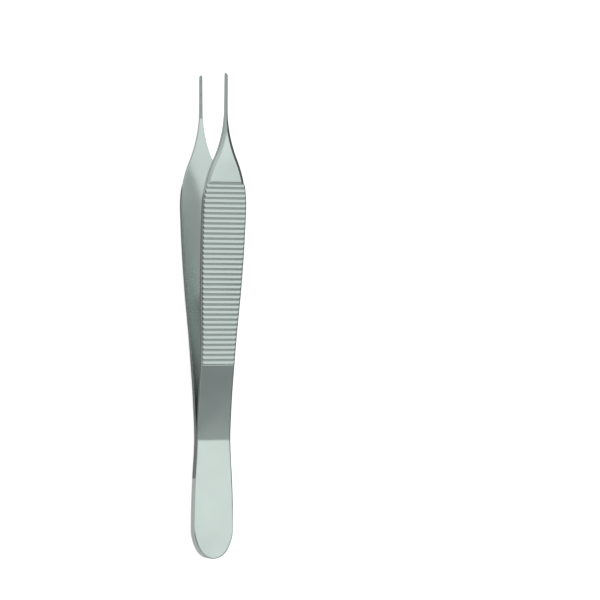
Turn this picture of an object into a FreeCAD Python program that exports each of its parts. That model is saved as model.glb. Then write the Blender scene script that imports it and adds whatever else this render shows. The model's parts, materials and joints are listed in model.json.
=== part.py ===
import FreeCAD, Part
import Sketcher
import math
import os
from collections import namedtuple

# Fine thumb forceps: two spring arms of stainless steel, welded face to face at the tail.
# Each arm is drawn with its length along Y from the tail end, its width along X,
# and its inner face at Z = 0 over the tail. Sizes are in millimetres, angles in degrees.
SIZES = {
    "overall_length": 120.0,
    # outline seen from above: half widths, and the stations along the length where they are reached
    "tail_end_radius": 4.5,
    "tail_widest_station": 7.5,
    "tail_half_width": 5.37,
    "tail_side_radius": 220.0,
    "waist_start": 33.0,
    "waist_end": 41.0,
    "waist_half_width": 4.45,
    "waist_radius": 300.0,
    "shoulder_station": 86.5,
    "shoulder_half_width": 5.9,
    "shoulder_radius": 28.0,
    "nose_station": 111.0,
    "nose_half_width": 0.45,
    # side view: the inner face leaves the seam at the crease and bows out to the nose
    "tail_thickness": 1.15,
    "crease_station": 27.0,
    "crease_radius": 80.0,
    "spread_angle": 8.2,
    "knee_station": 45.0,
    "knee_radius": 86.0,
    "ledge_station": 48.0,
    "bow_radius": 1190.0,
    "nose_bend_station": 97.0,
    "nose_bend_radius": 130.0,
    "nose_angle": 1.25,
    "nose_taper_angle": 1.3,
    # grip: rounded transverse ribs that stand proud of the shank
    "rib_height": 0.21,
    "rib_pitch": 1.25,
    "rib_count": 36,
    "first_groove_station": 93.0,
    "groove_radius": 0.4,
    "crest_radius": 0.4,
    "crest_break": 0.02,
    # outer edges
    "flare_bevel_station": 92.6,
    "bevel_width": 0.95,
    "bevel_drop": 0.7,
    "tail_edge_bevel": 0.25,
    "grip_edge_bevel": 0.35,
    "tip_radius": 0.8,
    # jaw: transverse teeth on the inner face of the nose
    "jaw_length": 10.8,
    "tooth_count": 20,
    "tooth_depth": 0.2,
    "tooth_land": 0.1,
    # how far a cutting outline runs past the blank
    "overrun": 1.0,
}

# A stretch of an outline: its number in the sketch, and which of its points are its first end,
# its last end and the centre it turns about.
Stretch = namedtuple("Stretch", "number first last centre", defaults=(3,))

# Points closer than this count as the same station.
NEAR = 0.01

# How far, in degrees, an outer face may lean from level, a side wall from upright,
# and a side wall from lying straight along the arm.
OUTER_FACE_ANGLE = 25
SIDE_WALL_ANGLE = 5
SIDE_WALL_TURN_ANGLE = 72

# Fixed things in every sketch: its origin and its two axes.
ORIGIN_POINT = (-1, 1)
ACROSS_AXIS_INDEX = -1
UP_AXIS_INDEX = -2


def fill_sheet(doc):
    """Put the driving sizes in the spreadsheet, one named cell each."""
    sheet = doc.addObject("Spreadsheet::Sheet", "sizes")
    for row, (name, value) in enumerate(SIZES.items(), start=1):
        sheet.set(f"A{row}", name)
        sheet.set(f"B{row}", str(value))
        sheet.setAlias(f"B{row}", name)


def base_plane(body, role):
    return next(feature for feature in body.Origin.OriginFeatures if feature.Role == role)


def sketch_on(body, name, role):
    """Start a sketch on one of the body's own base planes."""
    sketch = body.newObject("Sketcher::SketchObject", name)
    sketch.AttachmentSupport = [(base_plane(body, role), "")]
    sketch.MapMode = "FlatFace"
    return sketch


def first(stretch):
    return (stretch.number, stretch.first)


def last(stretch):
    return (stretch.number, stretch.last)


def centre(stretch):
    return (stretch.number, stretch.centre)


def line(sketch, start, end):
    number = sketch.addGeometry(Part.LineSegment(FreeCAD.Vector(*start), FreeCAD.Vector(*end)))
    return Stretch(number, 1, 2)


def arc(sketch, middle, start, end, anticlockwise):
    """Draw the arc that runs from start to end about its middle."""
    start_angle = math.atan2(start[1] - middle[1], start[0] - middle[0])
    end_angle = math.atan2(end[1] - middle[1], end[0] - middle[0])
    circle = Part.Circle(FreeCAD.Vector(*middle), FreeCAD.Vector(0, 0, 1), math.dist(middle, start))
    if anticlockwise:
        return Stretch(sketch.addGeometry(Part.ArcOfCircle(circle, start_angle, end_angle)), 1, 2)
    return Stretch(sketch.addGeometry(Part.ArcOfCircle(circle, end_angle, start_angle)), 2, 1)


def rule(sketch, kind, *parts):
    """Add a plain geometric rule, such as tangent, coincident or parallel."""
    sketch.addConstraint(Sketcher.Constraint(kind, *parts))


def drive(sketch, name, kind, parts, value, expression):
    """Add a size to the sketch and tie it to the spreadsheet."""
    number = sketch.addConstraint(Sketcher.Constraint(kind, *parts, value))
    sketch.renameConstraint(number, name)
    sketch.setExpression(f"Constraints.{name}", expression)


def place(sketch, point, name, across=None, up=None):
    """Tie one or both of a point's coordinates to the spreadsheet."""
    now = sketch.getPoint(*point)
    if across is not None:
        drive(sketch, name + "_across", "DistanceX", (*ORIGIN_POINT, *point), now.x, across)
    if up is not None:
        drive(sketch, name + "_up", "DistanceY", (*ORIGIN_POINT, *point), now.y, up)


def set_radius(sketch, stretch, name, expression):
    radius = sketch.Geometry[stretch.number].Radius
    drive(sketch, name, "Radius", (stretch.number,), radius, expression)


def set_angle(sketch, stretch, name, expression):
    run = sketch.Geometry[stretch.number]
    slope = math.atan2(run.EndPoint.y - run.StartPoint.y, run.EndPoint.x - run.StartPoint.x)
    drive(sketch, name, "Angle", (stretch.number,), slope, expression)


def measure(sketch, point, name):
    """Give a point's coordinates names that other sketches can read."""
    for suffix, kind in (("_across", "DistanceX"), ("_up", "DistanceY")):
        number = sketch.addConstraint(Sketcher.Constraint(kind, *ORIGIN_POINT, *point, 1.0))
        sketch.setDriving(number, False)
        sketch.renameConstraint(number, name + suffix)


class Walk:
    """A point that walks along an outline, so that each stretch starts tangent to the last."""

    def __init__(self, across, up, heading=0.0):
        self.point = (across, up)
        self.heading = heading

    def straight_to(self, across):
        start = self.point
        self.point = (across, start[1] + (across - start[0]) * math.tan(self.heading))
        return start, self.point

    def turn_to(self, radius, heading):
        """Turn up (positive radius) or down (negative radius) to a heading."""
        start = self.point
        middle = (start[0] - radius * math.sin(self.heading), start[1] + radius * math.cos(self.heading))
        self.heading = heading
        self.point = (middle[0] + radius * math.sin(heading), middle[1] - radius * math.cos(heading))
        return middle, start, self.point

    def turn_until(self, radius, across):
        return self.turn_to(radius, math.asin(math.sin(self.heading) + (across - self.point[0]) / radius))


def draw_side_view(body, size):
    """The arm from the side: inner face, nose end, and outer face with the ledge where the ribs start."""
    sketch = sketch_on(body, "side_view_" + body.Name, "YZ_Plane")
    start = -size["overrun"]
    far = size["overall_length"] + size["overrun"]
    spread = math.radians(size["spread_angle"])
    inner_nose = math.radians(size["nose_angle"])
    outer_nose = inner_nose - math.radians(size["nose_taper_angle"])
    outer_bow_radius = size["bow_radius"] + size["tail_thickness"] + size["rib_height"]

    walk = Walk(start, 0.0)
    tail = line(sketch, *walk.straight_to(size["crease_station"]))
    crease = arc(sketch, *walk.turn_to(size["crease_radius"], spread), True)
    shank = line(sketch, *walk.straight_to(size["knee_station"]))
    knee = arc(sketch, *walk.turn_until(-size["knee_radius"], size["ledge_station"]), False)
    bow_run = walk.turn_until(-size["bow_radius"], size["nose_bend_station"])
    bow = arc(sketch, *bow_run, False)
    bend = arc(sketch, *walk.turn_to(-size["nose_bend_radius"], inner_nose), False)
    jaw = line(sketch, *walk.straight_to(far))
    jaw_end = walk.point

    walk = Walk(start, size["tail_thickness"])
    outer_tail = line(sketch, *walk.straight_to(size["crease_station"]))
    outer_crease = arc(sketch, *walk.turn_to(size["crease_radius"] - size["tail_thickness"], spread), True)
    outer_shank = line(sketch, *walk.straight_to(size["ledge_station"]))
    ledge_foot = walk.point

    bow_middle = bow_run[0]
    run = size["ledge_station"] - bow_middle[0]
    rise = math.sqrt(outer_bow_radius ** 2 - run ** 2)
    walk = Walk(size["ledge_station"], bow_middle[1] + rise, -math.atan2(run, rise))
    ledge_top = walk.point
    outer_bow = arc(sketch, *walk.turn_until(-outer_bow_radius, size["nose_bend_station"]), False)
    outer_bend = arc(sketch, *walk.turn_to(-size["nose_bend_radius"], outer_nose), False)
    outer_jaw = line(sketch, *walk.straight_to(far))

    tail_end = line(sketch, (start, 0.0), (start, size["tail_thickness"]))
    ledge = line(sketch, ledge_foot, ledge_top)
    nose_end = line(sketch, jaw_end, walk.point)

    for face in ((tail, crease, shank, knee, bow, bend, jaw), (outer_tail, outer_crease, outer_shank),
                 (outer_bow, outer_bend, outer_jaw)):
        for before, after in zip(face, face[1:]):
            rule(sketch, "Tangent", *last(before), *first(after))
    for one, other in ((first(tail), first(tail_end)), (last(tail_end), first(outer_tail)),
                       (last(outer_shank), first(ledge)), (last(ledge), first(outer_bow)),
                       (last(jaw), first(nose_end)), (last(nose_end), last(outer_jaw)),
                       (centre(crease), centre(outer_crease)), (centre(bow), centre(outer_bow))):
        rule(sketch, "Coincident", *one, *other)
    for level in (tail, outer_tail):
        rule(sketch, "Horizontal", level.number)
    for upright in (tail_end, ledge, nose_end):
        rule(sketch, "Vertical", upright.number)
    rule(sketch, "PointOnObject", *first(tail), ACROSS_AXIS_INDEX)
    rule(sketch, "Parallel", shank.number, outer_shank.number)

    place(sketch, first(tail), "start", across="-sizes.overrun")
    place(sketch, last(tail), "crease", across="sizes.crease_station")
    place(sketch, last(shank), "knee", across="sizes.knee_station")
    place(sketch, last(knee), "ledge", across="sizes.ledge_station")
    place(sketch, last(bow), "nose_bend", across="sizes.nose_bend_station")
    place(sketch, last(jaw), "far_end", across="sizes.overall_length + sizes.overrun")
    place(sketch, last(tail_end), "tail_back", up="sizes.tail_thickness")
    place(sketch, last(outer_shank), "ledge_foot", across="sizes.ledge_station")
    place(sketch, last(outer_bow), "outer_bend", across="sizes.nose_bend_station")
    set_radius(sketch, crease, "crease_radius", "sizes.crease_radius")
    set_radius(sketch, knee, "knee_radius", "sizes.knee_radius")
    set_radius(sketch, bow, "bow_radius", "sizes.bow_radius")
    set_radius(sketch, outer_bow, "outer_bow_radius",
               "sizes.bow_radius + sizes.tail_thickness + sizes.rib_height")
    set_radius(sketch, bend, "bend_radius", "sizes.nose_bend_radius")
    set_radius(sketch, outer_bend, "outer_bend_radius", "sizes.nose_bend_radius")
    set_angle(sketch, shank, "spread_angle", "sizes.spread_angle")
    set_angle(sketch, jaw, "nose_angle", "sizes.nose_angle")
    set_angle(sketch, outer_jaw, "outer_nose_angle", "sizes.nose_angle - sizes.nose_taper_angle")
    measure(sketch, centre(bow), "bow_centre")

    tip = line(sketch, (size["overall_length"], jaw_end[1]), (size["overall_length"], walk.point[1]))
    sketch.setConstruction(tip.number, True)
    rule(sketch, "Vertical", tip.number)
    rule(sketch, "PointOnObject", *first(tip), jaw.number)
    rule(sketch, "PointOnObject", *last(tip), outer_jaw.number)
    place(sketch, first(tip), "tip", across="sizes.overall_length")
    measure(sketch, first(tip), "tip_inside")
    measure(sketch, last(tip), "tip_outside")
    return sketch


def ogee(sketch, start, end, radius, radius_name, corner=None, corner_name=None):
    """Round stretches that carry the outline from one half width to another.

    It runs straight along the length where it starts and where it ends. The first round stretch can be
    parted at a station, so that an edge of the solid ends there.
    """
    side = 1 if end[0] < start[0] else -1
    step = abs(end[0] - start[0])
    both = ((end[1] - start[1]) ** 2 / step + step) / 2
    start_middle = (start[0] - side * radius, start[1])
    end_middle = (end[0] + side * (both - radius), end[1])
    share = radius / both
    meet = tuple(a + (b - a) * share for a, b in zip(start_middle, end_middle))
    if corner is None:
        leave = [arc(sketch, start_middle, start, meet, side > 0)]
    else:
        rise = corner - start_middle[1]
        parting = (start_middle[0] + side * math.sqrt(radius ** 2 - rise ** 2), corner)
        leave = [arc(sketch, start_middle, start, parting, side > 0),
                 arc(sketch, start_middle, parting, meet, side > 0)]
        rule(sketch, "Coincident", *last(leave[0]), *first(leave[1]))
        rule(sketch, "Coincident", *centre(leave[0]), *centre(leave[1]))
        place(sketch, last(leave[0]), corner_name, up="sizes." + corner_name)
    arrive = arc(sketch, end_middle, meet, end, side < 0)
    rule(sketch, "Tangent", *last(leave[-1]), *first(arrive))
    rule(sketch, "Horizontal", *first(leave[0]), *centre(leave[0]))
    rule(sketch, "Horizontal", *last(arrive), *centre(arrive))
    set_radius(sketch, leave[0], radius_name, "sizes." + radius_name)
    return (*leave, arrive)


def draw_waste(body, size):
    """All that lies outside the arm's right-hand outline, seen from above, past the blank's edges."""
    sketch = sketch_on(body, "outline_waste_" + body.Name, "XY_Plane")
    end_radius = size["tail_end_radius"]
    wide = (size["tail_half_width"], size["tail_widest_station"])
    waist_in = (size["waist_half_width"], size["waist_start"])
    waist_out = (size["waist_half_width"], size["waist_end"])
    shoulder = (size["shoulder_half_width"], size["shoulder_station"])
    nose = (size["nose_half_width"], size["nose_station"])
    edge = size["shoulder_half_width"] + 2 * size["overrun"]
    near = -2 * size["overrun"]
    far = size["overall_length"] + 2 * size["overrun"]

    step = wide[1] - end_radius
    cheek_radius = (step ** 2 + wide[0] ** 2 - end_radius ** 2) / (2 * (wide[0] - end_radius))
    cheek_middle = (wide[0] - cheek_radius, wide[1])
    reach = math.dist(cheek_middle, (0.0, end_radius))
    meet = (-cheek_middle[0] / reach * end_radius, end_radius - step / reach * end_radius)
    end = arc(sketch, (0.0, end_radius), (0.0, 0.0), meet, True)
    cheek = arc(sketch, cheek_middle, meet, wide, True)
    rule(sketch, "Tangent", *last(end), *first(cheek))
    rule(sketch, "Coincident", *first(end), *ORIGIN_POINT)
    rule(sketch, "PointOnObject", *centre(end), UP_AXIS_INDEX)
    rule(sketch, "Horizontal", *last(cheek), *centre(cheek))
    set_radius(sketch, end, "tail_end_radius", "sizes.tail_end_radius")

    tail = ogee(sketch, wide, waist_in, size["tail_side_radius"], "tail_side_radius")
    hip = ogee(sketch, waist_out, shoulder, size["waist_radius"], "waist_radius")
    flare = ogee(sketch, shoulder, nose, size["shoulder_radius"], "shoulder_radius",
                 size["flare_bevel_station"], "flare_bevel_station")
    waist = line(sketch, waist_in, waist_out)
    place(sketch, first(tail[0]), "tail_side", "sizes.tail_half_width", "sizes.tail_widest_station")
    place(sketch, last(tail[1]), "waist_start", "sizes.waist_half_width", "sizes.waist_start")
    place(sketch, first(hip[0]), "waist_end", "sizes.waist_half_width", "sizes.waist_end")
    place(sketch, last(hip[1]), "shoulder", "sizes.shoulder_half_width", "sizes.shoulder_station")
    place(sketch, last(flare[-1]), "nose", "sizes.nose_half_width", "sizes.nose_station")

    corners = (nose, (nose[0], far), (edge, far), (edge, near), (0.0, near), (0.0, 0.0))
    frame = [line(sketch, *pair) for pair in zip(corners, corners[1:])]
    place(sketch, first(frame[2]), "far_corner", "sizes.shoulder_half_width + 2 * sizes.overrun",
          "sizes.overall_length + 2 * sizes.overrun")
    place(sketch, last(frame[2]), "near_corner", up="-2 * sizes.overrun")
    for before, after in ((cheek, tail[0]), (tail[-1], waist), (waist, hip[0]), (hip[-1], flare[0]),
                          (flare[-1], frame[0]), *zip(frame, frame[1:])):
        rule(sketch, "Coincident", *last(before), *first(after))
    rule(sketch, "Coincident", *last(frame[-1]), *ORIGIN_POINT)
    for upright in frame[::2]:
        rule(sketch, "Vertical", upright.number)
    for level in frame[1::2]:
        rule(sketch, "Horizontal", level.number)
    return sketch


def closed_outline(sketch, corners):
    """Draw straight stretches from corner to corner and back to the first."""
    sides = [line(sketch, *pair) for pair in zip(corners, corners[1:] + corners[:1])]
    for before, after in zip(sides, sides[1:] + sides[:1]):
        rule(sketch, "Coincident", *last(before), *first(after))
    return sides


def draw_wedge(body, size, start, inward):
    """The wedge that the flare's bevel takes off, drawn square to the outer edge where the bevel starts."""
    sketch = body.newObject("Sketcher::SketchObject", "wedge_" + body.Name)
    up = FreeCAD.Vector(0, 0, 1)
    along = inward.cross(up)
    sketch.Placement = FreeCAD.Placement(FreeCAD.Matrix(
        inward.x, up.x, along.x, start.x,
        inward.y, up.y, along.y, start.y,
        inward.z, up.z, along.z, start.z,
        0, 0, 0, 1))
    slope = size["bevel_drop"] / size["bevel_width"]
    out = size["overrun"] / 2
    corners = [(-out, -size["bevel_drop"] - out * slope), (size["bevel_width"] + out, out * slope),
               (-out, out * slope)]
    sides = closed_outline(sketch, corners)
    place(sketch, first(sides[0]), "low", "-sizes.overrun / 2",
          "-sizes.bevel_drop - sizes.overrun / 2 * sizes.bevel_drop / sizes.bevel_width")
    place(sketch, first(sides[1]), "inner", "sizes.bevel_width + sizes.overrun / 2",
          "sizes.overrun / 2 * sizes.bevel_drop / sizes.bevel_width")
    rule(sketch, "Horizontal", sides[1].number)
    rule(sketch, "Vertical", sides[2].number)
    return sketch


def draw_tip_waste(body, size):
    """What lies outside the right half of the rounded nose end, seen from above."""
    sketch = sketch_on(body, "tip_waste_" + body.Name, "XY_Plane")
    half = size["nose_half_width"]
    end = size["overall_length"]
    edge = half + size["overrun"]
    far = end + 2 * size["overrun"]
    round_end = arc(sketch, (0.0, end - half), (half, end - half), (0.0, end), True)
    corners = ((0.0, end), (0.0, far), (edge, far), (edge, end - half), (half, end - half))
    sides = [line(sketch, *pair) for pair in zip(corners, corners[1:])]
    around = (round_end, *sides)
    for before, after in zip(around, sides + [round_end]):
        rule(sketch, "Coincident", *last(before), *first(after))
    for upright in sides[::2]:
        rule(sketch, "Vertical", upright.number)
    for level in sides[1::2]:
        rule(sketch, "Horizontal", level.number)
    rule(sketch, "PointOnObject", *centre(round_end), UP_AXIS_INDEX)
    rule(sketch, "Horizontal", *centre(round_end), *first(round_end))
    place(sketch, first(round_end), "nose_side", "sizes.nose_half_width")
    place(sketch, last(round_end), "nose_end", None, "sizes.overall_length")
    rule(sketch, "PointOnObject", *last(round_end), UP_AXIS_INDEX)
    place(sketch, last(sides[1]), "corner", "sizes.nose_half_width + sizes.overrun",
          "sizes.overall_length + 2 * sizes.overrun")
    return sketch


def draw_tip_rounding(body, size, side_view):
    """What lies outside the nose's rounded end, seen from the side."""
    sketch = sketch_on(body, "tip_rounding_" + body.Name, "YZ_Plane")
    top = side_view.getDatum("tip_outside_up").Value
    radius = size["tip_radius"]
    end = size["overall_length"]
    far = end + 2 * size["overrun"]
    high = top + size["overrun"]
    rounding = arc(sketch, (end - radius, top - radius), (end - radius, top), (end, top - radius), False)
    corners = ((end, top - radius), (far, top - radius), (far, high), (end - radius, high),
               (end - radius, top))
    sides = [line(sketch, *pair) for pair in zip(corners, corners[1:])]
    around = (rounding, *sides)
    for before, after in zip(around, sides + [rounding]):
        rule(sketch, "Coincident", *last(before), *first(after))
    for level in sides[::2]:
        rule(sketch, "Horizontal", level.number)
    for upright in sides[1::2]:
        rule(sketch, "Vertical", upright.number)
    rule(sketch, "Horizontal", *centre(rounding), *last(rounding))
    rule(sketch, "Vertical", *centre(rounding), *first(rounding))
    outside = side_view.Name + ".Constraints.tip_outside_up"
    place(sketch, first(rounding), "top", None, outside)
    place(sketch, last(rounding), "end", "sizes.overall_length")
    set_radius(sketch, rounding, "tip_radius", "sizes.tip_radius")
    place(sketch, last(sides[1]), "corner", "sizes.overall_length + 2 * sizes.overrun",
          outside + " + sizes.overrun * 1 mm")
    return sketch


def draw_groove(body, size, side_view):
    """The section of the first groove, drawn at the top of a circle about the centre of the bow."""
    sketch = sketch_on(body, "groove_" + body.Name, "YZ_Plane")
    bow = side_view.Name + ".Constraints.bow_centre_"
    face = size["bow_radius"] + size["tail_thickness"] + size["rib_height"]
    face_rule = "(sizes.bow_radius + sizes.tail_thickness + sizes.rib_height)"
    sketch.setExpression("AttachmentOffset.Base.x", bow + "across")
    sketch.setExpression("AttachmentOffset.Base.y", bow + "up")
    sketch.setExpression("AttachmentOffset.Rotation.Angle",
                         f"-asin((sizes.first_groove_station * 1 mm - {bow}across) / ({face_rule} * 1 mm))")

    low_radius = size["groove_radius"]
    crest_radius = size["crest_radius"]
    low = face - size["rib_height"] + low_radius
    crest = face + size["crest_break"] - crest_radius
    spread = math.sqrt((low_radius + crest_radius) ** 2 - (low - crest) ** 2)
    share = low_radius / (low_radius + crest_radius)
    meet = (spread * share, low + (crest - low) * share)
    top = face + size["crest_break"]
    high = top + size["overrun"]
    left = arc(sketch, (-spread, crest), (-spread, top), (-meet[0], meet[1]), False)
    bottom = arc(sketch, (0.0, low), (-meet[0], meet[1]), meet, True)
    right = arc(sketch, (spread, crest), meet, (spread, top), False)
    corners = ((spread, top), (spread, high), (-spread, high), (-spread, top))
    sides = [line(sketch, *pair) for pair in zip(corners, corners[1:])]
    rule(sketch, "Tangent", *last(left), *first(bottom))
    rule(sketch, "Tangent", *last(bottom), *first(right))
    for before, after in ((right, sides[0]), (sides[0], sides[1]), (sides[1], sides[2]), (sides[2], left)):
        rule(sketch, "Coincident", *last(before), *first(after))
    rule(sketch, "Horizontal", sides[1].number)
    for stretch, end in ((left, first(left)), (right, last(right))):
        rule(sketch, "Vertical", *centre(stretch), *end)
    rule(sketch, "Vertical", sides[0].number)
    rule(sketch, "Vertical", sides[2].number)
    rule(sketch, "Equal", left.number, right.number)
    rule(sketch, "PointOnObject", *centre(bottom), UP_AXIS_INDEX)
    place(sketch, centre(bottom), "bottom", None, f"{face_rule} - sizes.rib_height + sizes.groove_radius")
    place(sketch, centre(left), "left", None, f"{face_rule} + sizes.crest_break - sizes.crest_radius")
    place(sketch, centre(right), "right", None, f"{face_rule} + sizes.crest_break - sizes.crest_radius")
    place(sketch, first(sides[1]), "high", None, f"{face_rule} + sizes.crest_break + sizes.overrun")
    set_radius(sketch, bottom, "groove_radius", "sizes.groove_radius")
    set_radius(sketch, left, "crest_radius", "sizes.crest_radius")
    return sketch


def draw_tooth(body, size, side_view, shift):
    """The gap between two teeth, drawn from the inner corner of the tip along the jaw."""
    sketch = sketch_on(body, "tooth_gap_" + body.Name, "YZ_Plane")
    tip = side_view.Name + ".Constraints.tip_inside_"
    sketch.setExpression("AttachmentOffset.Base.x", tip + "across")
    sketch.setExpression("AttachmentOffset.Base.y", tip + "up")
    sketch.setExpression("AttachmentOffset.Rotation.Angle", "sizes.nose_angle")
    pitch = size["jaw_length"] / size["tooth_count"]
    reach = pitch - size["tooth_land"]
    middle = -shift * pitch
    depth = size["tooth_depth"]
    sides = closed_outline(sketch, [(middle - reach, -depth), (middle + reach, -depth), (middle, depth)])
    pitch_rule = "sizes.jaw_length / sizes.tooth_count"
    place(sketch, last(sides[1]), "root", f"-{shift} * {pitch_rule}", "sizes.tooth_depth")
    place(sketch, first(sides[0]), "mouth",
          f"-{shift} * {pitch_rule} - ({pitch_rule} - sizes.tooth_land)", "-sizes.tooth_depth")
    place(sketch, last(sides[0]), "mouth_end",
          f"-{shift} * {pitch_rule} + ({pitch_rule} - sizes.tooth_land)", "-sizes.tooth_depth")
    return sketch


def cut(body, name, sketch):
    """Take a sketch's outline out of the body, right through it both ways."""
    pocket = body.newObject("PartDesign::Pocket", name + "_" + body.Name)
    pocket.Profile = sketch
    pocket.Type = "ThroughAll"
    pocket.SideType = "Symmetric"
    pocket.Refine = False
    return pocket


def outward(face, point):
    """A face's outward direction at the point of it nearest to a given one."""
    u, v = face.Surface.parameter(point)
    return face.normalAt(u, v)


def is_outer_face(normal):
    return normal.z > math.cos(math.radians(OUTER_FACE_ANGLE))


def is_side_wall(normal):
    upright = abs(normal.z) < math.sin(math.radians(SIDE_WALL_ANGLE))
    return upright and abs(normal.x) > math.cos(math.radians(SIDE_WALL_TURN_ANGLE))


def outer_edges(feature, low, high):
    """Name the edges between two stations where the outer face meets a side wall."""
    names = []
    for number, edge in enumerate(feature.Shape.Edges, start=1):
        ends = [vertex.Point.y for vertex in edge.Vertexes]
        middle = edge.valueAt((edge.FirstParameter + edge.LastParameter) / 2)
        if min(ends) < low - NEAR or max(ends) > high + NEAR:
            continue
        normals = [outward(face, middle) for face in feature.Shape.ancestorsOfType(edge, Part.Face)]
        if any(map(is_outer_face, normals)) and any(map(is_side_wall, normals)):
            names.append(f"Edge{number}")
    return names


def bevel_flare(body, size, blank):
    """Take the wide bevel off the right-hand outer edge, from the shoulder right along the nose."""
    far = size["overall_length"] + size["overrun"]
    names = [name for name in outer_edges(blank, size["flare_bevel_station"], far)
             if blank.Shape.getElement(name).CenterOfMass.x > 0]
    points = [vertex.Point for name in names for vertex in blank.Shape.getElement(name).Vertexes]
    start = min(points, key=lambda point: point.y)
    shoulder = FreeCAD.Vector(size["shoulder_half_width"] - size["shoulder_radius"],
                              size["shoulder_station"], start.z)
    bevel = body.newObject("PartDesign::SubtractivePipe", "flare_bevel_" + body.Name)
    bevel.Profile = draw_wedge(body, size, start, (shoulder - start).normalize())
    bevel.Spine = (blank, names)
    bevel.Mode = "Binormal"
    bevel.Binormal = FreeCAD.Vector(0, 0, 1)
    bevel.Refine = False
    return bevel


def ease_edges(body, size):
    """Bevel the outer edges of the tail and the shank, and then those of the grip."""
    for name, low, high in (("tail_edge_bevel", 0.0, size["ledge_station"]),
                            ("grip_edge_bevel", size["ledge_station"], size["flare_bevel_station"])):
        before = body.Tip
        bevel = body.newObject("PartDesign::Chamfer", name + "_" + body.Name)
        bevel.Base = (before, outer_edges(before, low, high))
        bevel.setExpression("Size", "sizes." + name)
        bevel.Refine = False
        body.Document.recompute()


def cut_ribs(body, size, side_view):
    """Cut the first groove of the grip and repeat it around the bow towards the tail."""
    section = draw_groove(body, size, side_view)
    groove = cut(body, "groove_cut", section)
    ribs = body.newObject("PartDesign::PolarPattern", "ribs_" + body.Name)
    ribs.Originals = [groove]
    ribs.Axis = (section, ["N_Axis"])
    ribs.setExpression("Occurrences", "sizes.rib_count")
    ribs.setExpression("Angle", "(sizes.rib_count - 1) * sizes.rib_pitch * 1 rad"
                                " / (sizes.bow_radius + sizes.tail_thickness + sizes.rib_height)")
    ribs.Refine = False
    body.Tip = ribs
    body.Document.recompute()


def cut_teeth(body, size, side_view, shift):
    """Cut the first tooth gap, a share of a pitch from the tip, and repeat it along the jaw."""
    section = draw_tooth(body, size, side_view, shift)
    gap = cut(body, "tooth_cut", section)
    teeth = body.newObject("PartDesign::LinearPattern", "teeth_" + body.Name)
    teeth.Originals = [gap]
    teeth.Direction = (section, ["H_Axis"])
    teeth.Reversed = True
    teeth.setExpression("Occurrences", "sizes.tooth_count")
    teeth.setExpression("Length", "sizes.jaw_length * (1 - 1 / sizes.tooth_count)")
    teeth.Refine = False
    body.Tip = teeth
    body.Document.recompute()


def make_arm(doc, name, size, shift):
    """Build one arm: forged blank, flared and bevelled blade, ribbed grip and toothed jaw."""
    body = doc.addObject("PartDesign::Body", name)
    body.Label = name
    side_view = draw_side_view(body, size)
    blank = body.newObject("PartDesign::Pad", "blank_" + name)
    blank.Profile = side_view
    blank.SideType = "Symmetric"
    blank.setExpression("Length", "2 * (sizes.shoulder_half_width + sizes.overrun)")
    trim = cut(body, "outline_trim", draw_waste(body, size))
    doc.recompute()

    bevel = bevel_flare(body, size, trim)
    tip = cut(body, "tip_trim", draw_tip_waste(body, size))
    both = body.newObject("PartDesign::Mirrored", "left_side_" + name)
    both.Originals = [trim, bevel, tip]
    both.MirrorPlane = (base_plane(body, "YZ_Plane"), [""])
    both.Refine = False
    body.Tip = both
    cut(body, "tip_rounded", draw_tip_rounding(body, size, side_view))
    doc.recompute()

    ease_edges(body, size)
    cut_ribs(body, size, side_view)
    cut_teeth(body, size, side_view, shift)
    return body


def resting_angle(size, side_view):
    """How far the arm leans when it lies on its outer face, on the tail's end and the bow.

    The floor is the line from the tail's outer edge that just touches the bow.
    """
    bow = FreeCAD.Vector(side_view.getDatum("bow_centre_across").Value,
                         side_view.getDatum("bow_centre_up").Value, 0)
    tail = FreeCAD.Vector(size["tail_edge_bevel"], size["tail_thickness"], 0)
    face = size["bow_radius"] + size["tail_thickness"] + size["rib_height"]
    away = bow - tail
    return math.degrees(math.atan2(away.y, away.x) + math.asin(face / away.Length))


def main():
    doc = FreeCAD.newDocument("thumb_forceps")
    fill_sheet(doc)
    # The two jaws' teeth are half a pitch apart, so that they mesh when the arms are squeezed.
    lower = make_arm(doc, "lower_arm", SIZES, shift=0.5)
    upper = make_arm(doc, "upper_arm", SIZES, shift=1.0)

    # Both arms lean together until the lower one rests on its outer face.
    tilt = resting_angle(SIZES, doc.getObject("side_view_lower_arm"))
    lean = FreeCAD.Rotation(FreeCAD.Vector(1, 0, 0), tilt)
    turned_over = FreeCAD.Rotation(FreeCAD.Vector(0, 1, 0), 180)
    lower.Placement = FreeCAD.Placement(FreeCAD.Vector(), lean * turned_over)
    upper.Placement = FreeCAD.Placement(FreeCAD.Vector(), lean)
    doc.recompute()
    arms = (lower, upper)
    box = FreeCAD.BoundBox()
    for arm in arms:
        box.add(arm.Shape.optimalBoundingBox())
    settle = FreeCAD.Vector(-box.Center.x, -box.Center.y, -box.ZMin)
    for arm in arms:
        arm.Placement = FreeCAD.Placement(settle, arm.Placement.Rotation)
    doc.recompute()

    failed = [item.Name for item in doc.Objects if {"Invalid", "Error"} & set(item.State)]
    if failed:
        raise SystemExit("these objects failed: " + ", ".join(failed))
    os.makedirs("parts", exist_ok=True)
    for arm in arms:
        if arm.Shape.isNull() or not arm.Shape.isValid() or len(arm.Shape.Solids) != 1:
            raise SystemExit(arm.Label + " isn't one sound solid")
        arm.Shape.exportStep(f"parts/{arm.Label}.step")
        print(arm.Label, "volume", round(arm.Shape.Volume, 2), "mm3")


main()
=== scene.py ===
import bmesh
import bpy
import json
import math
from mathutils import Matrix, Vector


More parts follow.
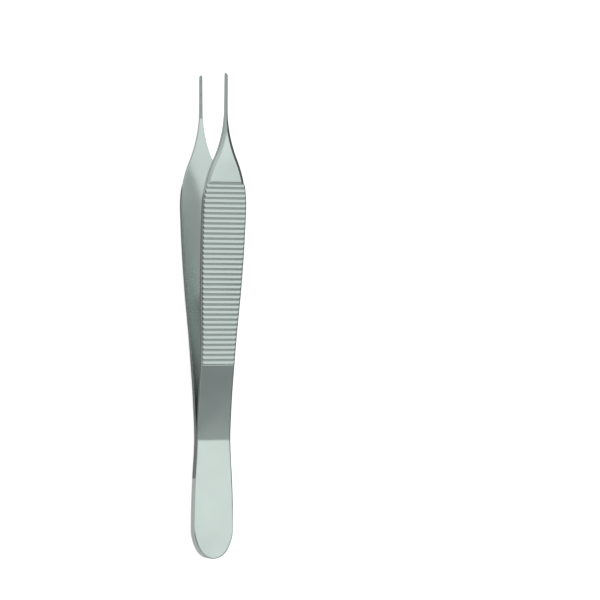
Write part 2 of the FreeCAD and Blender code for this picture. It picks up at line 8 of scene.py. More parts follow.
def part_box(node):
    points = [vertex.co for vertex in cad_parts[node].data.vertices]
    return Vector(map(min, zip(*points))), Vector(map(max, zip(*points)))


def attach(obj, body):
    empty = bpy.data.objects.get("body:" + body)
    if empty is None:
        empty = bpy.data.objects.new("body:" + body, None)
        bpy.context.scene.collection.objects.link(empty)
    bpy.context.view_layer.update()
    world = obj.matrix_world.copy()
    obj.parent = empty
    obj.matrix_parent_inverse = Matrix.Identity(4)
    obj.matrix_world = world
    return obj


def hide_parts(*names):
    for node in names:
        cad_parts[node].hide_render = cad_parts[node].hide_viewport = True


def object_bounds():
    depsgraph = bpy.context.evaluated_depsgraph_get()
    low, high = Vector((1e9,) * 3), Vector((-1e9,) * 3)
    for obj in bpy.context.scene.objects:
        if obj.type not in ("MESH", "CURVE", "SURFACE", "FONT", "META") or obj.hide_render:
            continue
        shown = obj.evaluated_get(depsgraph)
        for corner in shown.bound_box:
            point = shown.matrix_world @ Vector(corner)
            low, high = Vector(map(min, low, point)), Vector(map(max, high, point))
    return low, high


MM = 0.001
MATH = "ShaderNodeMath"
VECTOR_MATH = "ShaderNodeVectorMath"

# The arm is drawn with its length along Y from the tail end, its width along X and its inner face
# at Z = 0 over the tail, as a die sinker's drawing would show it.

# Outline from above: a place is a half width and a station along the arm.
LENGTH = 120 * MM
TAIL_END_RADIUS = 4.5 * MM
TAIL_WIDEST = (5.37 * MM, 7.5 * MM)
WAIST_START = (4.45 * MM, 33 * MM)
WAIST_END = (4.45 * MM, 41 * MM)
SHOULDER = (5.9 * MM, 86.5 * MM)
NOSE = (0.42 * MM, 111 * MM)
TAIL_SIDE_RADIUS = 220 * MM
WAIST_RADIUS = 300 * MM
SHOULDER_RADIUS = 28 * MM
NOSE_ROUND = LENGTH - NOSE[0]

# Side view: the flat tail, a tight crease, the straight shank, the knee, the bow and the nose.
THICKNESS = 1.15 * MM
CREASE = 29 * MM
CREASE_RADIUS = 10 * MM
CREASE_TURN = math.radians(4.5)
CREASE_END = CREASE + CREASE_RADIUS * math.sin(CREASE_TURN)
SHANK_RADIUS = 216 * MM
SPREAD = math.radians(8.2)
KNEE = 45 * MM
KNEE_RADIUS = 86 * MM
LEDGE = 48 * MM
BOW_RADIUS = 1190 * MM
NOSE_BEND = 97 * MM
NOSE_BEND_RADIUS = 130 * MM
NOSE_ANGLE = math.radians(1.25)
NOSE_TAPER = math.radians(1.3)
TIP_RADIUS = 0.8 * MM

# The milled grip and the toothed jaw.
RIB_HEIGHT = 0.21 * MM
RIB_PITCH = 1.25 * MM
RIB_COUNT = 36
FIRST_GROOVE = 92.5 * MM
GROOVE_SHARPNESS = 1.35
FLARE_BEVEL_START = 92.6 * MM
TOOTH_PITCH = 0.54 * MM
TOOTH_DEPTH = 0.2 * MM
TOOTH_LAND = 0.1 * MM
TOOTH_COUNT = 20

# Each bevel's width across the outer face, and its drop down the side wall.
TAIL_BEVEL = (0.3 * MM, 0.18 * MM)
GRIP_BEVEL = (0.45 * MM, 0.35 * MM)
FLARE_BEVEL = (0.95 * MM, 0.7 * MM)
# How far a rounded corner reaches, and the least height that a side wall keeps under its bevel.
EDGE_ROUND = 0.07 * MM
LEAST_WALL = 0.05 * MM

# How far apart the mesh's sections stand from each station on, and around each round end.
TAIL_END_STEP = math.radians(5)
TAIL_CHEEK_STEP = math.radians(4)
TIP_STEP = math.radians(9)
SECTION_STEPS = (
    (TAIL_WIDEST[1], MM),
    (CREASE, 0.07 * MM),
    (CREASE_END, 0.5 * MM),
    (KNEE, 0.25 * MM),
    (LEDGE, RIB_PITCH / 16),
    (FLARE_BEVEL_START, RIB_PITCH / 16),
    (FIRST_GROOVE + RIB_PITCH, 0.3 * MM),
    (NOSE[1] - 2 * MM, TOOTH_PITCH / 10),
    (NOSE_ROUND, None))
# Where the points of a half section stand between its corners, as shares of each stretch.
INNER_FACE_SHARES = (0, 0.25, 0.5, 0.75, 0.95)
SIDE_WALL_SHARES = (0.5,)
BEVEL_SHARES = (0.2, 0.4, 0.6, 0.8)
OUTER_FACE_SHARES = (0.05, 0.25, 0.5, 0.75, 1)
# The inner face keeps a narrow strip along its edge, whose end is rounded.
HEEL_WIDTH = 0.1 * MM
# Stations and points that are nearer to each other than this count as one.
SAME_STATION = 1e-9
SAME_POINT = 0.0005 * MM

# Hardened stainless steel's finish. The brush leaves scratches about 0.05 mm apart, too fine to
# show: they are drawn 0.2 mm wide and 6 mm long. The satin blasting leaves a grain about 0.14 mm
# across, and handling leaves faint cloudy patches about 8 mm across, some of them duller.
STREAKS_PER_METRE = (5000, 170, 5000)
GRAINS_PER_METRE = 7000
PATCHES_PER_METRE = 120
PATCH_CONTRAST = (0.3, 0.7)
STEEL_ROUGHNESS = (0.16, 0.22)
RELIEF_STRENGTH = 0.12
RELIEF_DEPTH = 0.01 * MM

# The softbox's edges on a ceiling one unit up: where each starts to fade in, and where it is full.
SOFTBOX_LEFT = (-1.35, -0.7)
SOFTBOX_RIGHT = (2.5, 1.5)
SOFTBOX_NEAR = (-0.225, -0.195)
SOFTBOX_FAR = (2.0, 1.2)
# The box is brightest at its near edge, and settles to its far share between these two places.
SOFTBOX_FALLOFF = (-0.1, 0.02)
SOFTBOX_FAR_SHARE = 0.74
# A dimmer card stands low beyond the tail, and lightens the near sides of the grooves.
LOW_CARD = (-0.6, -0.9)
LOW_CARD_SHARE = 0.25
JUST_ABOVE = 0.001
# The light's colours are linear, because the softbox is a little brighter than white.
ROOM_GREY = (0.26, 0.29, 0.285, 1)
SOFTBOX_WHITE = (1.08, 1.17, 1.13, 1)

# The floor runs out to the horizon, and its glow brings it up to white.
FLOOR_REACH = 30
FLOOR_GLOW = 0.7

# What the steel mirrors beside and under it, in millimetres: glowing grey panels whose set tones
# are a painted reflection of shade and light there, and the standing ones are painted shade. A flag
# that stands has a place across, and reaches along the arms and up.
STANDING_FLAGS = (
    ("right_flag", 30, (-50, 70), (0, 30), "#606060"),
    ("left_painted_shade", -30, (-14, 34), (10, 40), "#707070"))
# One that lies reaches across and along the arms, at a height just over the floor. Those on the
# left are a painted shadow of the arms on the floor, and those on the right paint the floor there
# darker.
LYING_FLAGS = (
    ("right_card", (6.8, 29.9), (10, 62), 0.3, "#D0D4D2"),
    ("shank_flag", (4.8, 29.9), (-35, 10), 0.3, "#8C8E8D"),
    ("left_painted_floor_shadow", (-30, -0.5), (-40, 32), 0.05, "#808080"),
    ("flare_painted_floor_shadow", (-30, -0.5), (32, 62), 0.05, "#B8BCBA"),
    ("tail_painted_floor_shadow", (-30, -0.5), (-66, -40), 0.05, "#C8CAC9"))

# The camera looks square to the length, from the side where the arms' left walls show. Its axis
# passes to the right of the object's middle and above it, by so many pixels of the photo.
PHOTO_SIZE = 600
PIXELS_PER_METRE = 4054.0
CAMERA_DISTANCE = 0.9
VIEW_ANGLE = math.radians(26.9)
CAMERA_ROLL = math.radians(0.17)
CAMERA_RIGHT = 81.75 / PIXELS_PER_METRE
CAMERA_UP = 14.65 / PIXELS_PER_METRE


def linear(hex_colour):
    """An sRGB hex colour as the linear colour that Blender's sockets take."""
    channels = [int(hex_colour[i:i + 2], 16) / 255 for i in (1, 3, 5)]
    return (*[c / 12.92 if c <= 0.04045 else ((c + 0.055) / 1.055) ** 2.4 for c in channels], 1.0)


def add(tree, kind, inputs=(), **settings):
    """Add a node with its settings. Its inputs are named, or listed in their order. Each gets a
    number, a colour or a link from a socket, and a node stands for its own first output."""
    node = tree.nodes.new(kind)
    for name, value in settings.items():
        setattr(node, name, value)
    sockets = inputs if isinstance(inputs, dict) else dict(enumerate(inputs))
    for socket, value in sockets.items():
        if isinstance(value, bpy.types.Node):
            value = value.outputs[0]
        if isinstance(value, bpy.types.NodeSocket):
            tree.links.new(value, node.inputs[socket])
        else:
            node.inputs[socket].default_value = value
    return node


class Course:
    """A line along the arm made of straight and round runs, each starting as the last one ended."""

    def __init__(self, start, height, slope=0.0):
        self.end = (start, height)
        self.slope = slope
        self.runs = []

    def straight(self, to):
        start, height = self.end
        rise = math.tan(self.slope)
        self.runs.append((to, lambda y: height + (y - start) * rise))
        self.end = (to, height + (to - start) * rise)
        return self

    def turn(self, radius, to=None, slope=None):
        """Turn outwards (positive radius) or inwards (negative radius), to a station or a slope."""
        self.middle = middle = (self.end[0] - radius * math.sin(self.slope),
                                self.end[1] + radius * math.cos(self.slope))
        if slope is None:
            slope = math.asin((to - middle[0]) / radius)
        to = middle[0] + radius * math.sin(slope)
        self.runs.append(
            (to, lambda y: middle[1] - radius * math.sqrt(1 - ((y - middle[0]) / radius) ** 2)))
        self.slope = slope
        self.end = (to, middle[1] - radius * math.cos(slope))
        return self

    def __call__(self, y):
        rule = next((rule for to, rule in self.runs if y <= to), self.runs[-1][1])
        return rule(y)


inner = Course(0, 0).straight(CREASE).turn(CREASE_RADIUS, slope=CREASE_TURN)
inner.turn(SHANK_RADIUS, slope=SPREAD).straight(KNEE)
inner.turn(-KNEE_RADIUS, to=LEDGE).turn(-BOW_RADIUS, to=NOSE_BEND)
BOW_CENTRE = inner.middle
inner.turn(-NOSE_BEND_RADIUS, slope=NOSE_ANGLE).straight(LENGTH)

shank_face = Course(0, THICKNESS).straight(CREASE)
shank_face.turn(CREASE_RADIUS - THICKNESS, slope=CREASE_TURN)
shank_face.turn(SHANK_RADIUS - THICKNESS, slope=SPREAD).straight(LEDGE)

FACE_RADIUS = BOW_RADIUS + THICKNESS + RIB_HEIGHT
ledge_lean = -math.asin((LEDGE - BOW_CENTRE[0]) / FACE_RADIUS)
grip_face = Course(LEDGE, BOW_CENTRE[1] + FACE_RADIUS * math.cos(ledge_lean), ledge_lean)
grip_face.turn(-FACE_RADIUS, to=NOSE_BEND)
grip_face.turn(-NOSE_BEND_RADIUS, slope=NOSE_ANGLE - NOSE_TAPER).straight(LENGTH)

# Each stretch of the arm with its bevel and its outer face. A section on a border gets both.
STRETCHES = (
    (0, LEDGE, TAIL_BEVEL, shank_face),
    (LEDGE, FLARE_BEVEL_START, GRIP_BEVEL, grip_face),
    (FLARE_BEVEL_START, LENGTH, FLARE_BEVEL, grip_face))


def ogee(start, end, radius):
    """Half widths that sweep from one place to another and run straight along the arm at both."""
    across, along = end[0] - start[0], end[1] - start[1]
    both = (along ** 2 / abs(across) + abs(across)) / 2
    meet = start[1] + along * radius / both
    side = math.copysign(1, across)

    def sweep(y):
        if y <= meet:
            return start[0] + side * (radius - math.sqrt(radius ** 2 - (y - start[1]) ** 2))
        far = both - radius
        return end[0] - side * (far - math.sqrt(far ** 2 - (end[1] - y) ** 2))
    return sweep


tail_side = ogee(TAIL_WIDEST, WAIST_START, TAIL_SIDE_RADIUS)
hip = ogee(WAIST_END, SHOULDER, WAIST_RADIUS)
flare = ogee(SHOULDER, NOSE, SHOULDER_RADIUS)


def half_width(y):
    """Half the arm's width at a station past the round of the tail."""
    for end, rule in ((WAIST_START[1], tail_side), (WAIST_END[1], lambda _: WAIST_END[0]),
                      (SHOULDER[1], hip), (NOSE[1], flare)):
        if y <= end:
            return rule(y)
    return NOSE[0]


def steps(start, end, spacing):
    """Even steps from start up to end, without the end itself."""
    count = max(1, round((end - start) / spacing))
    return [start + (end - start) * i / count for i in range(count)]


def outline():
    """Points down the right-hand edge, from the middle of the tail's end to that of the tip."""
    wide, station = TAIL_WIDEST
    step = station - TAIL_END_RADIUS
    cheek = (step ** 2 + wide ** 2 - TAIL_END_RADIUS ** 2) / (2 * (wide - TAIL_END_RADIUS))
    cheek_middle = wide - cheek
    turn = math.atan2(-cheek_middle, step)
    points = [(TAIL_END_RADIUS * math.sin(a), TAIL_END_RADIUS * (1 - math.cos(a)))
              for a in steps(0, turn, TAIL_END_STEP)]
    points += [(cheek_middle + cheek * math.sin(a), station - cheek * math.cos(a))
               for a in steps(turn, math.pi / 2, TAIL_CHEEK_STEP)]
    for (start, spacing), (end, _) in zip(SECTION_STEPS, SECTION_STEPS[1:]):
        points += [(half_width(y), y) for y in steps(start, end, spacing)]
    points += [(NOSE[0] * math.cos(a), NOSE_ROUND + NOSE[0] * math.sin(a))
               for a in steps(0, math.pi / 2, TIP_STEP)]
    return points + [(0.0, LENGTH)]


def inward(points, i):
    """The direction into the arm, square to its edge, at one point of the outline."""
    if i == 0:
        return Vector((0, 1))
    if i == len(points) - 1:
        return Vector((0, -1))
    along = Vector(points[i + 1]) - Vector(points[i - 1])
    return Vector((-along.y, along.x)).normalized()


def rounded(before, corner, after, radius):
    """Three points that ease a corner, and leave some of each side between it and its neighbour."""
    most_of_side = 0.45
    back = before - corner
    on = after - corner
    a = corner + back.normalized() * min(radius, most_of_side * back.length)
    b = corner + on.normalized() * min(radius, most_of_side * on.length)
    return [a, (a + 2 * corner + b) / 4, b]


def between(start, end, shares):
    """Points on the straight stretch from one corner of a section to the next."""
    return [start.lerp(end, share) for share in shares]


def bevel_reach(edge, into, width):
    """How far in a bevel reaches: its width, or less where the arm's middle is nearer."""
    if edge.y > NOSE_ROUND:
        return min(width, NOSE[0])
    if edge.x <= 0 or into.x >= 0:
        return width
    return min(width, edge.x / -into.x)


def outer_height(y, face):
    """The outer face, eased down at the very tip."""
    height = face(y)
    past = y - (LENGTH - TIP_RADIUS)
    if past > 0:
        height -= TIP_RADIUS - math.sqrt(max(TIP_RADIUS ** 2 - past ** 2, 0))
    return height


def section(point, into, bevel, face):
    """Half of the arm's section at one point of its edge, from the middle of the inner face round
    to the middle of the outer face."""
    edge = Vector(point)
    width, drop = bevel
    reach = bevel_reach(edge, into, width)
    top_edge = edge + into * reach
    under_edge = edge + into * min(HEEL_WIDTH, reach)
    crown = outer_height(top_edge.y, face) - drop * (1 - reach / width)
    wall_top = outer_height(edge.y, face) - drop

    middle_below = Vector((0, under_edge.y, inner(under_edge.y)))
    below = Vector((*under_edge, inner(under_edge.y)))
    foot = Vector((*edge, inner(edge.y)))
    brow = Vector((*edge, max(wall_top, inner(edge.y) + LEAST_WALL)))
    top = Vector((*top_edge, crown))
    middle_top = Vector((0, top_edge.y, crown))

    heel = rounded(below, foot, brow, EDGE_ROUND)
    cheek = rounded(foot, brow, top, EDGE_ROUND)
    rim = rounded(brow, top, middle_top, EDGE_ROUND)
    return (between(middle_below, heel[0], INNER_FACE_SHARES)
            + heel + between(heel[-1], cheek[0], SIDE_WALL_SHARES)
            + cheek + between(cheek[-1], rim[0], BEVEL_SHARES)
            + rim + between(rim[-1], middle_top, OUTER_FACE_SHARES))


def blank_mesh():
    """The forged arm before milling: one closed skin of sections from the tail's end to the tip."""
    points = outline()
    rings = []
    for i, point in enumerate(points):
        into = inward(points, i)
        for start, end, bevel, face in STRETCHES:
            if start - SAME_STATION < point[1] < end + SAME_STATION:
                half = section(point, into, bevel, face)
                rings.append(half + [Vector((-p.x, p.y, p.z)) for p in reversed(half[1:-1])])
    mesh = bmesh.new()
    rows = [[mesh.verts.new(p) for p in ring] for ring in rings]
    for row, following in zip(rows, rows[1:]):
        for i in range(len(row)):
            mesh.faces.new((row[i], row[i - 1], following[i - 1], following[i]))
    bmesh.ops.remove_doubles(mesh, verts=mesh.verts, dist=SAME_POINT)
    bmesh.ops.dissolve_degenerate(mesh, edges=mesh.edges, dist=SAME_POINT)
    bmesh.ops.recalc_face_normals(mesh, faces=mesh.faces)
    for face in mesh.faces:
        face.smooth = True
    data = bpy.data.meshes.new("arm_blank")
    mesh.to_mesh(data)
    mesh.free()
    return data


def new_geometry_tree(name, inputs):
    """A Geometry Nodes tree with a mesh going in and out, and the given named inputs."""
    tree = bpy.data.node_groups.new(name, "GeometryNodeTree")
    tree.interface.new_socket("Geometry", in_out="INPUT", socket_type="NodeSocketGeometry")
    for label, kind in inputs:
        tree.interface.new_socket(label, in_out="INPUT", socket_type="NodeSocket" + kind)
    tree.interface.new_socket("Geometry", in_out="OUTPUT", socket_type="NodeSocketGeometry")
    return tree, tree.nodes.new("NodeGroupInput").outputs


def end_tree(tree, given, offset):
    """Move the points by an offset, and end as the export needs it."""
    moved = add(tree, "GeometryNodeSetPosition", {"Geometry": given["Geometry"], "Offset": offset})
    real = add(tree, "GeometryNodeRealizeInstances", (moved,))
    dressed = add(tree, "GeometryNodeSetMaterial",
                  {"Geometry": real, "Material": given["Material"]})
    add(tree, "NodeGroupOutput", (dressed,))


def within_row(tree, number, count):
    """One within half a step of a row's cuts, counted from nought, and nought elsewhere."""
    last = add(tree, MATH, (count, 0.5), operation="SUBTRACT")
    begun = add(tree, MATH, (number, -0.5), operation="GREATER_THAN")
    ended = add(tree, MATH, (number, last), operation="LESS_THAN")
    return add(tree, MATH, (begun, ended), operation="MULTIPLY")


def milled_grip_tree():
    """Grooves milled across the outer face, square to the bow, at even steps towards the tail."""
    tree, given = new_geometry_tree("milled_grip", (
        ("Bow centre", "Vector"), ("Face radius", "Float"), ("Groove pitch", "Float"),
        ("Groove depth", "Float"), ("First groove", "Float"), ("Groove count", "Float"),
        ("Material", "Material")))
    place = add(tree, "GeometryNodeInputPosition")
    away = add(tree, VECTOR_MATH, (place, given["Bow centre"]), operation="SUBTRACT")
    flat = add(tree, VECTOR_MATH, (away, (0, 1, 1)), operation="MULTIPLY")
    parts = add(tree, "ShaderNodeSeparateXYZ", (flat,)).outputs
    radius = add(tree, VECTOR_MATH, (flat,), operation="LENGTH").outputs["Value"]

    # How many pitches around the bow a point lies from the first groove.
    bow = add(tree, "ShaderNodeSeparateXYZ", (given["Bow centre"],)).outputs
    first = add(tree, MATH, (given["First groove"], bow["Y"]), operation="SUBTRACT")
    sine = add(tree, MATH, (first, given["Face radius"]), operation="DIVIDE")
    start = add(tree, MATH, (sine,), operation="ARCSINE")
    angle = add(tree, MATH, (parts["Y"], parts["Z"]), operation="ARCTAN2")
    turn = add(tree, MATH, (start, angle), operation="SUBTRACT")
    arc = add(tree, MATH, (turn, given["Face radius"]), operation="MULTIPLY")
    number = add(tree, MATH, (arc, given["Groove pitch"]), operation="DIVIDE")

    # The groove's section is a sharpened cosine. What stands above it is pressed in to it.
    phase = add(tree, MATH, (number, math.tau), operation="MULTIPLY")
    wave = add(tree, MATH, (phase,), operation="COSINE")
    share = add(tree, MATH, (wave, 0.5, 0.5), operation="MULTIPLY_ADD")
    hollow = add(tree, MATH, (share, GROOVE_SHARPNESS), operation="POWER")
    depth = add(tree, MATH, (hollow, given["Groove depth"]), operation="MULTIPLY")
    groove_radius = add(tree, MATH, (given["Face radius"], depth), operation="SUBTRACT")
    above = add(tree, MATH, (radius, groove_radius), operation="SUBTRACT")
    over = add(tree, MATH, (above, 0.0), operation="MAXIMUM")
    grooved = within_row(tree, number, given["Groove count"])
    cut = add(tree, MATH, (over, grooved), operation="MULTIPLY")
    pressed = add(tree, MATH, (cut, -1.0), operation="MULTIPLY")
    out = add(tree, VECTOR_MATH, (flat,), operation="NORMALIZE")
    offset = add(tree, VECTOR_MATH, {0: out, "Scale": pressed}, operation="SCALE")
    end_tree(tree, given, offset)
    return tree


def toothed_jaw_tree():
    """V-shaped gaps cut across the inner face of the nose, at even steps from the tip."""
    tree, given = new_geometry_tree("toothed_jaw", (
        ("Jaw tip", "Vector"), ("Jaw angle", "Float"), ("Tooth pitch", "Float"),
        ("Tooth depth", "Float"), ("Tooth land", "Float"), ("First gap", "Float"),
        ("Tooth count", "Float"), ("Material", "Material")))
    place = add(tree, "GeometryNodeInputPosition")
    away = add(tree, VECTOR_MATH, (place, given["Jaw tip"]), operation="SUBTRACT")
    level = add(tree, "ShaderNodeVectorRotate", {"Vector": away, "Angle": given["Jaw angle"]},
                rotation_type="X_AXIS", invert=True)
    parts = add(tree, "ShaderNodeSeparateXYZ", (level,)).outputs

    # How many pitches back from the first gap a point lies, and how far from the nearest one.
    back = add(tree, MATH, (parts["Y"], -1.0), operation="MULTIPLY")
    pitches = add(tree, MATH, (back, given["Tooth pitch"]), operation="DIVIDE")
    number = add(tree, MATH, (pitches, given["First gap"]), operation="SUBTRACT")
    nearest = add(tree, MATH, (number,), operation="ROUND")
    aside = add(tree, MATH, (number, nearest), operation="SUBTRACT")
    beside = add(tree, MATH, (aside,), operation="ABSOLUTE")
    far = add(tree, MATH, (beside, given["Tooth pitch"]), operation="MULTIPLY")

    # Each gap is a V as deep as a tooth is high. What hangs below it is pressed up into the jaw.
    mouth = add(tree, MATH, (given["Tooth pitch"], given["Tooth land"]), operation="SUBTRACT")
    half_mouth = add(tree, MATH, (mouth, 0.5), operation="MULTIPLY")
    share = add(tree, MATH, (far, half_mouth), operation="DIVIDE")
    slope = add(tree, MATH, (1.0, share), operation="SUBTRACT")
    inside = add(tree, MATH, (slope, 0.0), operation="MAXIMUM")
    gap = add(tree, MATH, (inside, given["Tooth depth"]), operation="MULTIPLY")
    below = add(tree, MATH, (gap, parts["Z"]), operation="SUBTRACT")
    under = add(tree, MATH, (below, 0.0), operation="MAXIMUM")
    toothed = within_row(tree, number, given["Tooth count"])
    cut = add(tree, MATH, (under, toothed), operation="MULTIPLY")
    up = add(tree, "ShaderNodeVectorRotate", {"Vector": (0, 0, 1), "Angle": given["Jaw angle"]},
             rotation_type="X_AXIS")
    offset = add(tree, VECTOR_MATH, {0: up, "Scale": cut}, operation="SCALE")
    end_tree(tree, given, offset)
    return tree


def run_tree(piece, tree, values):
    """Put a tree on a piece, fill its inputs, and keep the result as the piece's plain mesh."""
    modifier = piece.modifiers.new(tree.name, "NODES")
    modifier.node_group = tree
    sockets = {item.name: item.identifier for item in tree.interface.items_tree
               if item.in_out == "INPUT"}
    for name, value in values.items():
        modifier[sockets[name]] = value
    piece.update_tag()
    shaped = piece.evaluated_get(bpy.context.evaluated_depsgraph_get())
    data = bpy.data.meshes.new_from_object(shaped)
    piece.modifiers.clear()
    piece.data = data


def new_material(name):
    """An empty node material and its tree."""
    material = bpy.data.materials.new(name)
    material.use_nodes = True
    material.node_tree.nodes.clear()
    return material, material.node_tree


def satin_steel():
    """Hardened stainless steel, brushed and then satin finished: a soft, slightly green-grey mirror
    with fine streaks along the arm."""
    material, tree = new_material("satin_stainless_steel")
    place = add(tree, "ShaderNodeTexCoord").outputs["Object"]
    streaks = add(tree, "ShaderNodeMapping", {"Vector": place, "Scale": STREAKS_PER_METRE})
    brushing = add(tree, "ShaderNodeTexNoise", {"Vector": streaks, "Scale": 1.0, "Detail": 3.0})
    grain = add(tree, "ShaderNodeTexNoise", {
        "Vector": place, "Scale": GRAINS_PER_METRE, "Detail": 2.0})
    relief = add(tree, MATH, (brushing, grain), operation="ADD")
    bump = add(tree, "ShaderNodeBump", {
        "Height": relief, "Strength": RELIEF_STRENGTH, "Distance": RELIEF_DEPTH})
    patches = add(tree, "ShaderNodeTexNoise", {
        "Vector": place, "Scale": PATCHES_PER_METRE, "Detail": 2.0})
    dullness = add(tree, "ShaderNodeMapRange", {
        "Value": patches, "From Min": PATCH_CONTRAST[0], "From Max": PATCH_CONTRAST[1],
        "To Min": STEEL_ROUGHNESS[0], "To Max": STEEL_ROUGHNESS[1]})
    tint = add(tree, "ShaderNodeMix", {
        "Factor": patches, "A": linear("#CCD2D0"), "B": linear("#D3D8D6")}, data_type="RGBA")
    shader = add(tree, "ShaderNodeBsdfPrincipled", {
        "Base Color": tint.outputs["Result"], "Metallic": 1.0, "Roughness": dullness,
        "Normal": bump})
    add(tree, "ShaderNodeOutputMaterial", {"Surface": shader})
    return material


def pale_floor():
    """Matt white board. Seen by the camera or in the metal it glows a little, so that it reads as
    white, and it keeps the shadow."""
    material, tree = new_material("matt_white_board")
    path = add(tree, "ShaderNodeLightPath").outputs
    seen = add(tree, MATH, (path["Is Camera Ray"], path["Is Glossy Ray"]), operation="MAXIMUM")
    seen = add(tree, MATH, (seen, path["Is Transmission Ray"]), operation="MAXIMUM")
    glow = add(tree, MATH, (seen, FLOOR_GLOW), operation="MULTIPLY")
    matt = add(tree, "ShaderNodeBsdfDiffuse", {"Color": linear("#F0F0F0")})
    light = add(tree, "ShaderNodeEmission", {"Color": (1, 1, 1, 1), "Strength": glow})
    both = add(tree, "ShaderNodeAddShader", (matt, light))
    add(tree, "ShaderNodeOutputMaterial", {"Surface": both})
    return material


def painted_reflection_glow(name, shade):
    """A grey glow, even whatever light falls on it: painted light and shade for the steel to
    mirror.
    """
    material, tree = new_material(name)
    glow = add(tree, "ShaderNodeEmission", {"Color": linear(shade)})
    add(tree, "ShaderNodeOutputMaterial", {"Surface": glow})
    return material


def studio():
    """A grey room under one wide softbox. The box ends just where the flat of the tail stops
    mirroring it, so that the shank behind the crease goes dark."""
    world = bpy.data.worlds.new("studio")
    world.use_nodes = True
    tree = world.node_tree
    tree.nodes.clear()
    way = add(tree, "ShaderNodeTexCoord").outputs["Generated"]
    parts = add(tree, "ShaderNodeSeparateXYZ", (way,)).outputs
    # Directions at the horizon and below it count as just above it, far out on the ceiling.
    above = add(tree, MATH, (parts["Z"], JUST_ABOVE), operation="MAXIMUM")
    across_box = add(tree, MATH, (parts["X"], above), operation="DIVIDE")
    along_box = add(tree, MATH, (parts["Y"], above), operation="DIVIDE")

    lit = add(tree, "ShaderNodeMapRange", {
        "Value": along_box, "From Min": SOFTBOX_FALLOFF[0], "From Max": SOFTBOX_FALLOFF[1],
        "To Min": 1.0, "To Max": SOFTBOX_FAR_SHARE})
    for place, (dark, bright) in ((across_box, SOFTBOX_LEFT), (across_box, SOFTBOX_RIGHT),
                                  (along_box, SOFTBOX_NEAR), (along_box, SOFTBOX_FAR)):
        edge = add(tree, "ShaderNodeMapRange", {
            "Value": place, "From Min": dark, "From Max": bright}, interpolation_type="SMOOTHSTEP")
        lit = add(tree, MATH, (lit, edge), operation="MULTIPLY")
    card = add(tree, "ShaderNodeMapRange", {
        "Value": along_box, "From Min": LOW_CARD[0],
        "From Max": LOW_CARD[1]}, interpolation_type="SMOOTHSTEP")
    low = add(tree, MATH, (card, LOW_CARD_SHARE), operation="MULTIPLY")
    lit = add(tree, MATH, (lit, low), operation="MAXIMUM")
    colour = add(tree, "ShaderNodeMix", {"Factor": lit, "A": ROOM_GREY, "B": SOFTBOX_WHITE},
                 data_type="RGBA")
    glow = add(tree, "ShaderNodeBackground", {"Color": colour.outputs["Result"]})
    add(tree, "ShaderNodeOutputWorld", {"Surface": glow})
    bpy.context.scene.world = world


def staged_panel(name, corners, material):
    """A flat four-cornered panel that isn't part of the object."""
    data = bpy.data.meshes.new(name)
    data.from_pydata(corners, [], [(0, 1, 2, 3)])
    data.materials.append(material)
    panel = bpy.data.objects.new(name, data)
    bpy.context.scene.collection.objects.link(panel)
    return panel


def flag(name, corners, shade):
    """A glowing grey panel that only the metal sees: its set glow is a painted reflection of the
    shade and light beside the arms.
    """
    corners = [tuple(v * MM for v in corner) for corner in corners]
    panel = staged_panel(name, corners, painted_reflection_glow(name + "_painted_reflection", shade))
    panel.visible_camera = panel.visible_diffuse = panel.visible_shadow = False


def standing_flag(name, x, along, high, shade):
    (near, far), (low, top) = along, high
    flag(name, [(x, near, low), (x, far, low), (x, far, top), (x, near, top)], shade)


def lying_flag(name, across_arms, along, z, shade):
    (left, right), (near, far) = across_arms, along
    flag(name, [(left, near, z), (right, near, z), (right, far, z), (left, far, z)], shade)


def dress_arm(node, turned_over, first_gap):
    """Mill and tooth a copy of the blank, and put it in the place of the frame's plain arm."""
    arm = bpy.data.objects.new("dressed_" + node, blank.copy())
    bpy.context.scene.collection.objects.link(arm)
    run_tree(arm, grip, {
        "Bow centre": (0, *BOW_CENTRE), "Face radius": FACE_RADIUS, "Groove pitch": RIB_PITCH,
        "Groove depth": RIB_HEIGHT, "First groove": FIRST_GROOVE,
        "Groove count": float(RIB_COUNT), "Material": steel})
    run_tree(arm, jaw, {
        "Jaw tip": (0, LENGTH, inner(LENGTH)), "Jaw angle": NOSE_ANGLE,
        "Tooth pitch": TOOTH_PITCH, "Tooth depth": TOOTH_DEPTH, "Tooth land": TOOTH_LAND,
        "First gap": first_gap, "Tooth count": float(TOOTH_COUNT), "Material": steel})
    arm.data.transform(Matrix.Rotation(lean, 4, "X") @ Matrix.Rotation(turned_over, 4, "Y"))
    low = Vector(map(min, *[v.co for v in arm.data.vertices]))
    high = Vector(map(max, *[v.co for v in arm.data.vertices]))
    node_low, node_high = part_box(node)
    arm.data.transform(Matrix.Translation((node_low + node_high - low - high) / 2))
    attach(arm, "root")
    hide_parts(node)
    frame["nodes"][node].data.materials.clear()
    frame["nodes"][node].data.materials.append(steel)


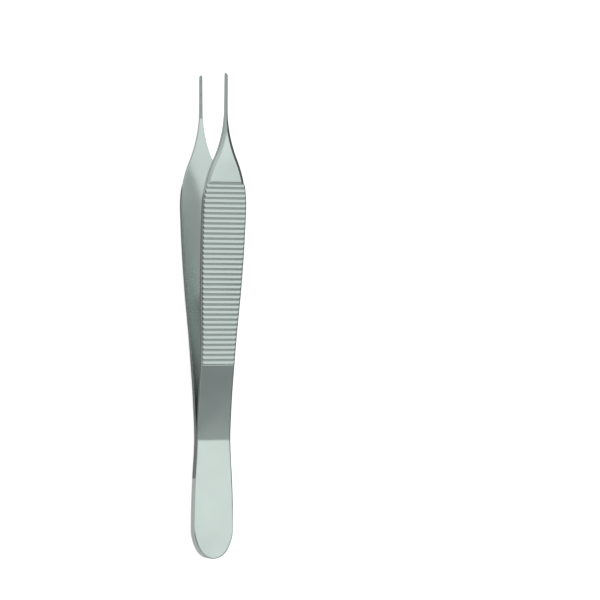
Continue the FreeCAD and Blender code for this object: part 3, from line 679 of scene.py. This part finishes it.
def aim_camera():
    """Look square to the lying arms' length and turned about it, with the object in its place in
    the photo's frame."""
    length_way = Vector((0, math.cos(lean), math.sin(lean)))
    open_way = Vector((0, -math.sin(lean), math.cos(lean)))
    back = (open_way * math.cos(VIEW_ANGLE) - Vector((1, 0, 0)) * math.sin(VIEW_ANGLE)).normalized()
    up = Matrix.Rotation(CAMERA_ROLL, 3, back) @ length_way
    right = up.cross(back).normalized()
    middle = Vector((sum(c[0] for c in cad_box) / 2, 0, sum(c[2] for c in cad_box) / 2))
    place = middle + back * CAMERA_DISTANCE + right * CAMERA_RIGHT + up * CAMERA_UP

    camera_data = bpy.data.cameras.new("camera")
    camera_data.lens = (
        camera_data.sensor_width * CAMERA_DISTANCE * PIXELS_PER_METRE / PHOTO_SIZE)
    camera_data.clip_start = 10 * MM
    camera = bpy.data.objects.new("camera", camera_data)
    bpy.context.scene.collection.objects.link(camera)
    turned = Matrix((right, up, back)).transposed().to_4x4()
    camera.matrix_world = Matrix.Translation(place) @ turned
    bpy.context.scene.camera = camera


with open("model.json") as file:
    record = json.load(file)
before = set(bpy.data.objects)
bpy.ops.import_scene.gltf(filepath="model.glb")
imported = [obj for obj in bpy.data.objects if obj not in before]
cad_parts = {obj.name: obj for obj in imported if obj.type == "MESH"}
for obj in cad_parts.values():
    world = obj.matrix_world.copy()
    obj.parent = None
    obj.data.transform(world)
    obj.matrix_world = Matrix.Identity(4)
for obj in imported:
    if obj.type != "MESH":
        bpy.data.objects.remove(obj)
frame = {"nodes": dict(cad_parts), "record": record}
cad_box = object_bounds()

steel = satin_steel()
grip = milled_grip_tree()
jaw = toothed_jaw_tree()
blank = blank_mesh()

# The frame's forceps lies on one arm, so each tail leans: its flat face's mount tells how much.
tail_face = next(m for m in frame["record"]["mounts"] if m["name"] == "tail_face_upper")
lean = math.atan2(-tail_face["axis"][1], tail_face["axis"][2])

# The lower arm is the same blank turned over, with its teeth half a pitch on, so that they mesh.
for node, turned_over, first_gap in (("upper_arm", 0.0, 1.0), ("lower_arm", math.pi, 0.5)):
    dress_arm(node, turned_over, first_gap)

near, far = -FLOOR_REACH, FLOOR_REACH
floor_corners = [(near, near, 0), (far, near, 0), (far, far, 0), (near, far, 0)]
staged_panel("floor", floor_corners, pale_floor())
aim_camera()
studio()
for panel in STANDING_FLAGS:
    standing_flag(*panel)
for panel in LYING_FLAGS:
    lying_flag(*panel)

bpy.context.scene.view_settings.view_transform = "Standard"
